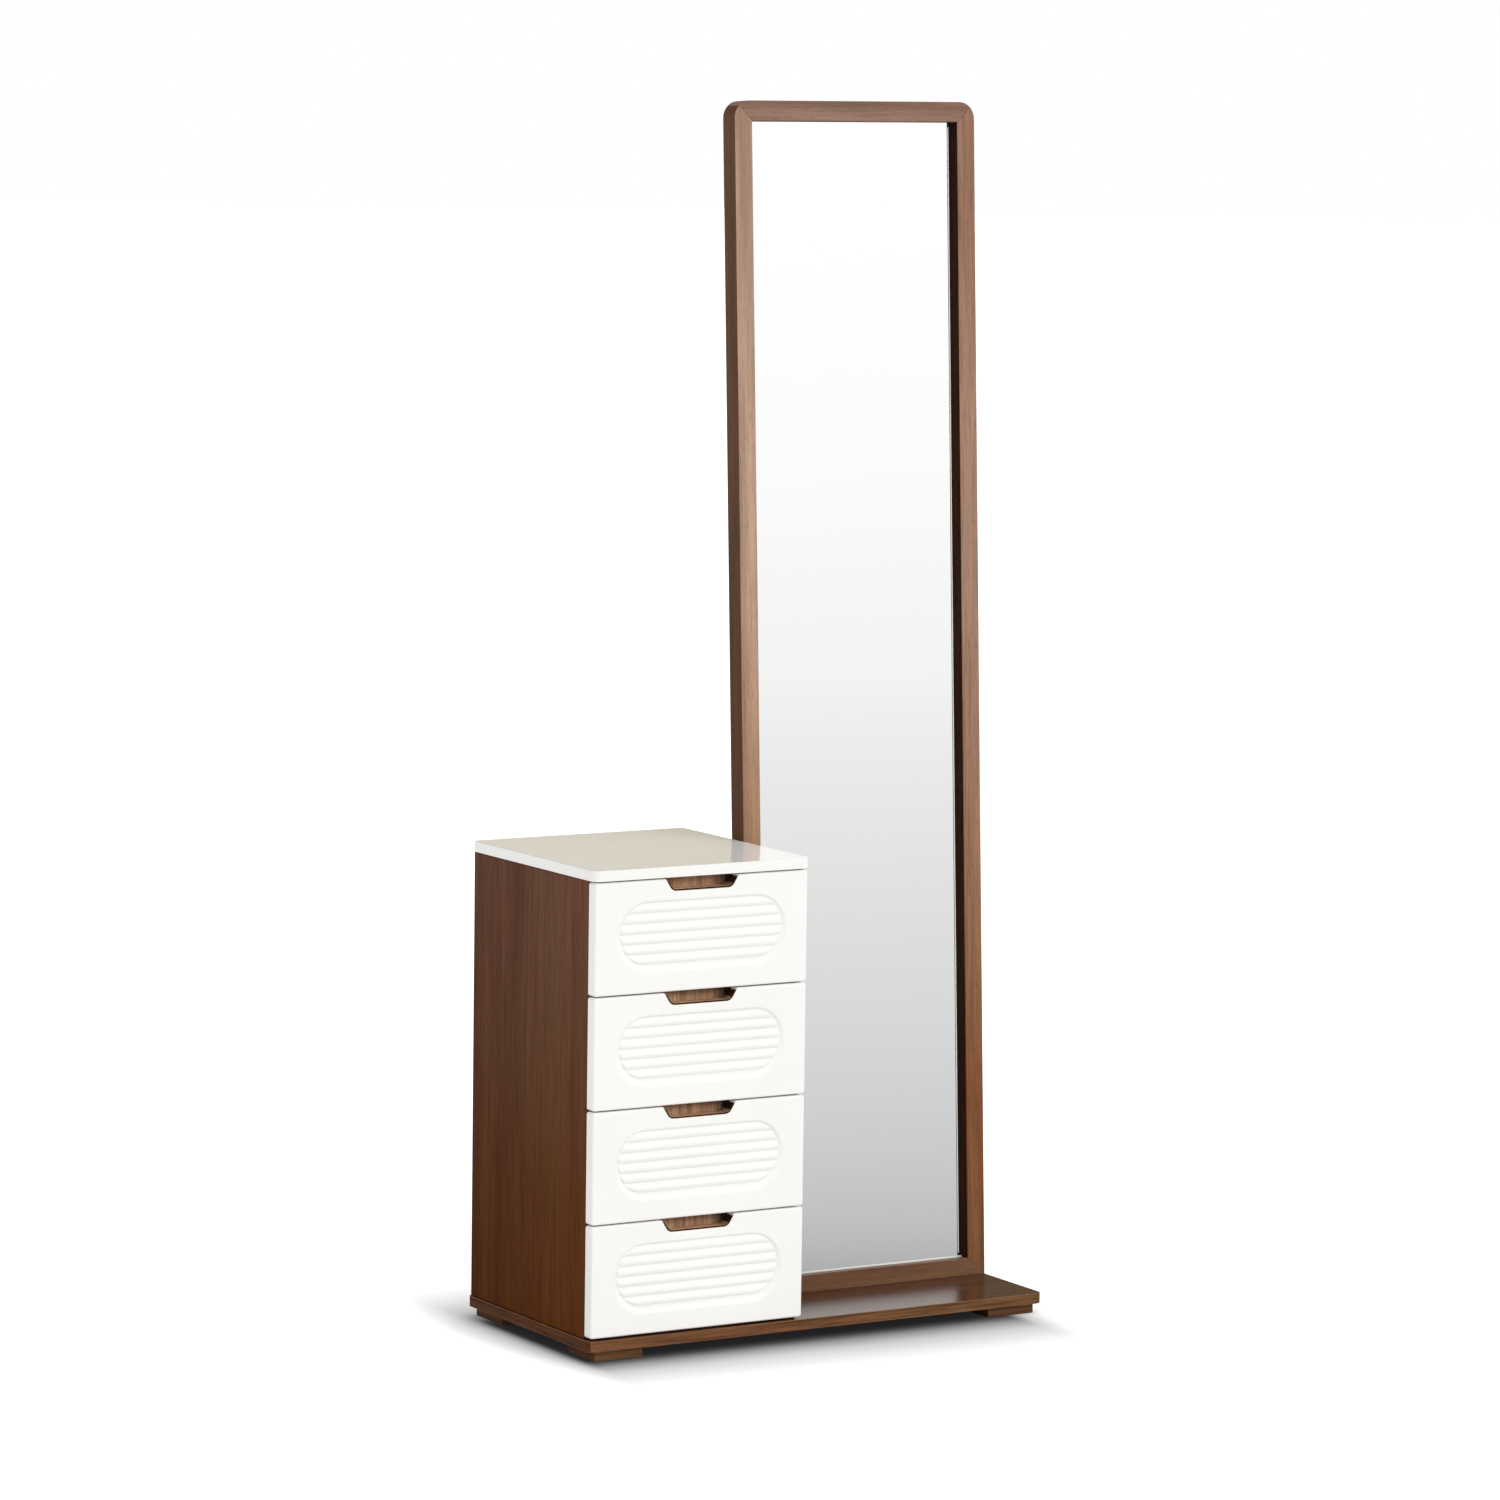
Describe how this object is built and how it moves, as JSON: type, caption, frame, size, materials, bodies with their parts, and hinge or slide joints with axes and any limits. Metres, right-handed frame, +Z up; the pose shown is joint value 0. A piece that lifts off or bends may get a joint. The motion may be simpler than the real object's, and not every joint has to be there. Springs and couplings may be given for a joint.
{
  "type": "dressing unit with drawers and mirror",
  "caption": "Walnut and white dressing unit: drawer cabinet with routed fronts and finger notches, tall framed mirror beside it on one base board.",
  "frame": {"origin": "on the floor, under the middle of the base board", "axes": "+Z up; the drawers open towards -Y; +X to the right when seen from the front, from the drawers to the mirror"},
  "size_m": [0.776, 0.376, 1.7999],
  "materials": {
    "walnut": "satin walnut veneer",
    "white_gloss": "white gloss lacquer",
    "drawer_board": "matte pale board",
    "hardboard": "matte hardboard",
    "white_steel": "satin white coating",
    "silvered_glass": "polished",
    "spacer_plastic": "matte"
  },
  "bodies": {
    "cabinet": {"base_board": "walnut", "foot_front_left": "walnut", "foot_front_right": "walnut", "foot_rear_left": "walnut", "foot_rear_right": "walnut", "side_panel_left": "walnut", "side_panel_right": "walnut", "back_panel": "hardboard", "top_slab": "white_gloss", "runner_1_left": "white_steel", "runner_1_right": "white_steel", "runner_2_left": "white_steel", "runner_2_right": "white_steel", "runner_3_left": "white_steel", "runner_3_right": "white_steel", "runner_4_left": "white_steel", "runner_4_right": "white_steel", "mirror_stile_left": "walnut", "mirror_stile_right": "walnut", "mirror_rail_top": "walnut", "mirror_rail_bottom": "walnut", "mirror_glass": "silvered_glass", "mirror_backing": "hardboard", "mirror_spacer_lower": "spacer_plastic", "mirror_spacer_upper": "spacer_plastic"},
    "drawer_1": {"drawer_1_front": "white_gloss", "drawer_1_box_front": "walnut", "drawer_1_side_left": "drawer_board", "drawer_1_side_right": "drawer_board", "drawer_1_back": "drawer_board", "drawer_1_bottom": "hardboard", "drawer_1_glide_left": "white_steel", "drawer_1_glide_right": "white_steel"},
    "drawer_2": {"drawer_2_front": "white_gloss", "drawer_2_box_front": "walnut", "drawer_2_side_left": "drawer_board", "drawer_2_side_right": "drawer_board", "drawer_2_back": "drawer_board", "drawer_2_bottom": "hardboard", "drawer_2_glide_left": "white_steel", "drawer_2_glide_right": "white_steel"},
    "drawer_3": {"drawer_3_front": "white_gloss", "drawer_3_box_front": "walnut", "drawer_3_side_left": "drawer_board", "drawer_3_side_right": "drawer_board", "drawer_3_back": "drawer_board", "drawer_3_bottom": "hardboard", "drawer_3_glide_left": "white_steel", "drawer_3_glide_right": "white_steel"},
    "drawer_4": {"drawer_4_front": "white_gloss", "drawer_4_box_front": "walnut", "drawer_4_side_left": "drawer_board", "drawer_4_side_right": "drawer_board", "drawer_4_back": "drawer_board", "drawer_4_bottom": "hardboard", "drawer_4_glide_left": "white_steel", "drawer_4_glide_right": "white_steel"}
  },
  "joints": [
    {"name": "drawer_1_slide", "type": "slide", "parent": "cabinet", "child": "drawer_1", "axis": [0, -1, 0], "range_m": [0, 0.24]},
    {"name": "drawer_2_slide", "type": "slide", "parent": "cabinet", "child": "drawer_2", "axis": [0, -1, 0], "range_m": [0, 0.24]},
    {"name": "drawer_3_slide", "type": "slide", "parent": "cabinet", "child": "drawer_3", "axis": [0, -1, 0], "range_m": [0, 0.24]},
    {"name": "drawer_4_slide", "type": "slide", "parent": "cabinet", "child": "drawer_4", "axis": [0, -1, 0], "range_m": [0, 0.24]}
  ]
}
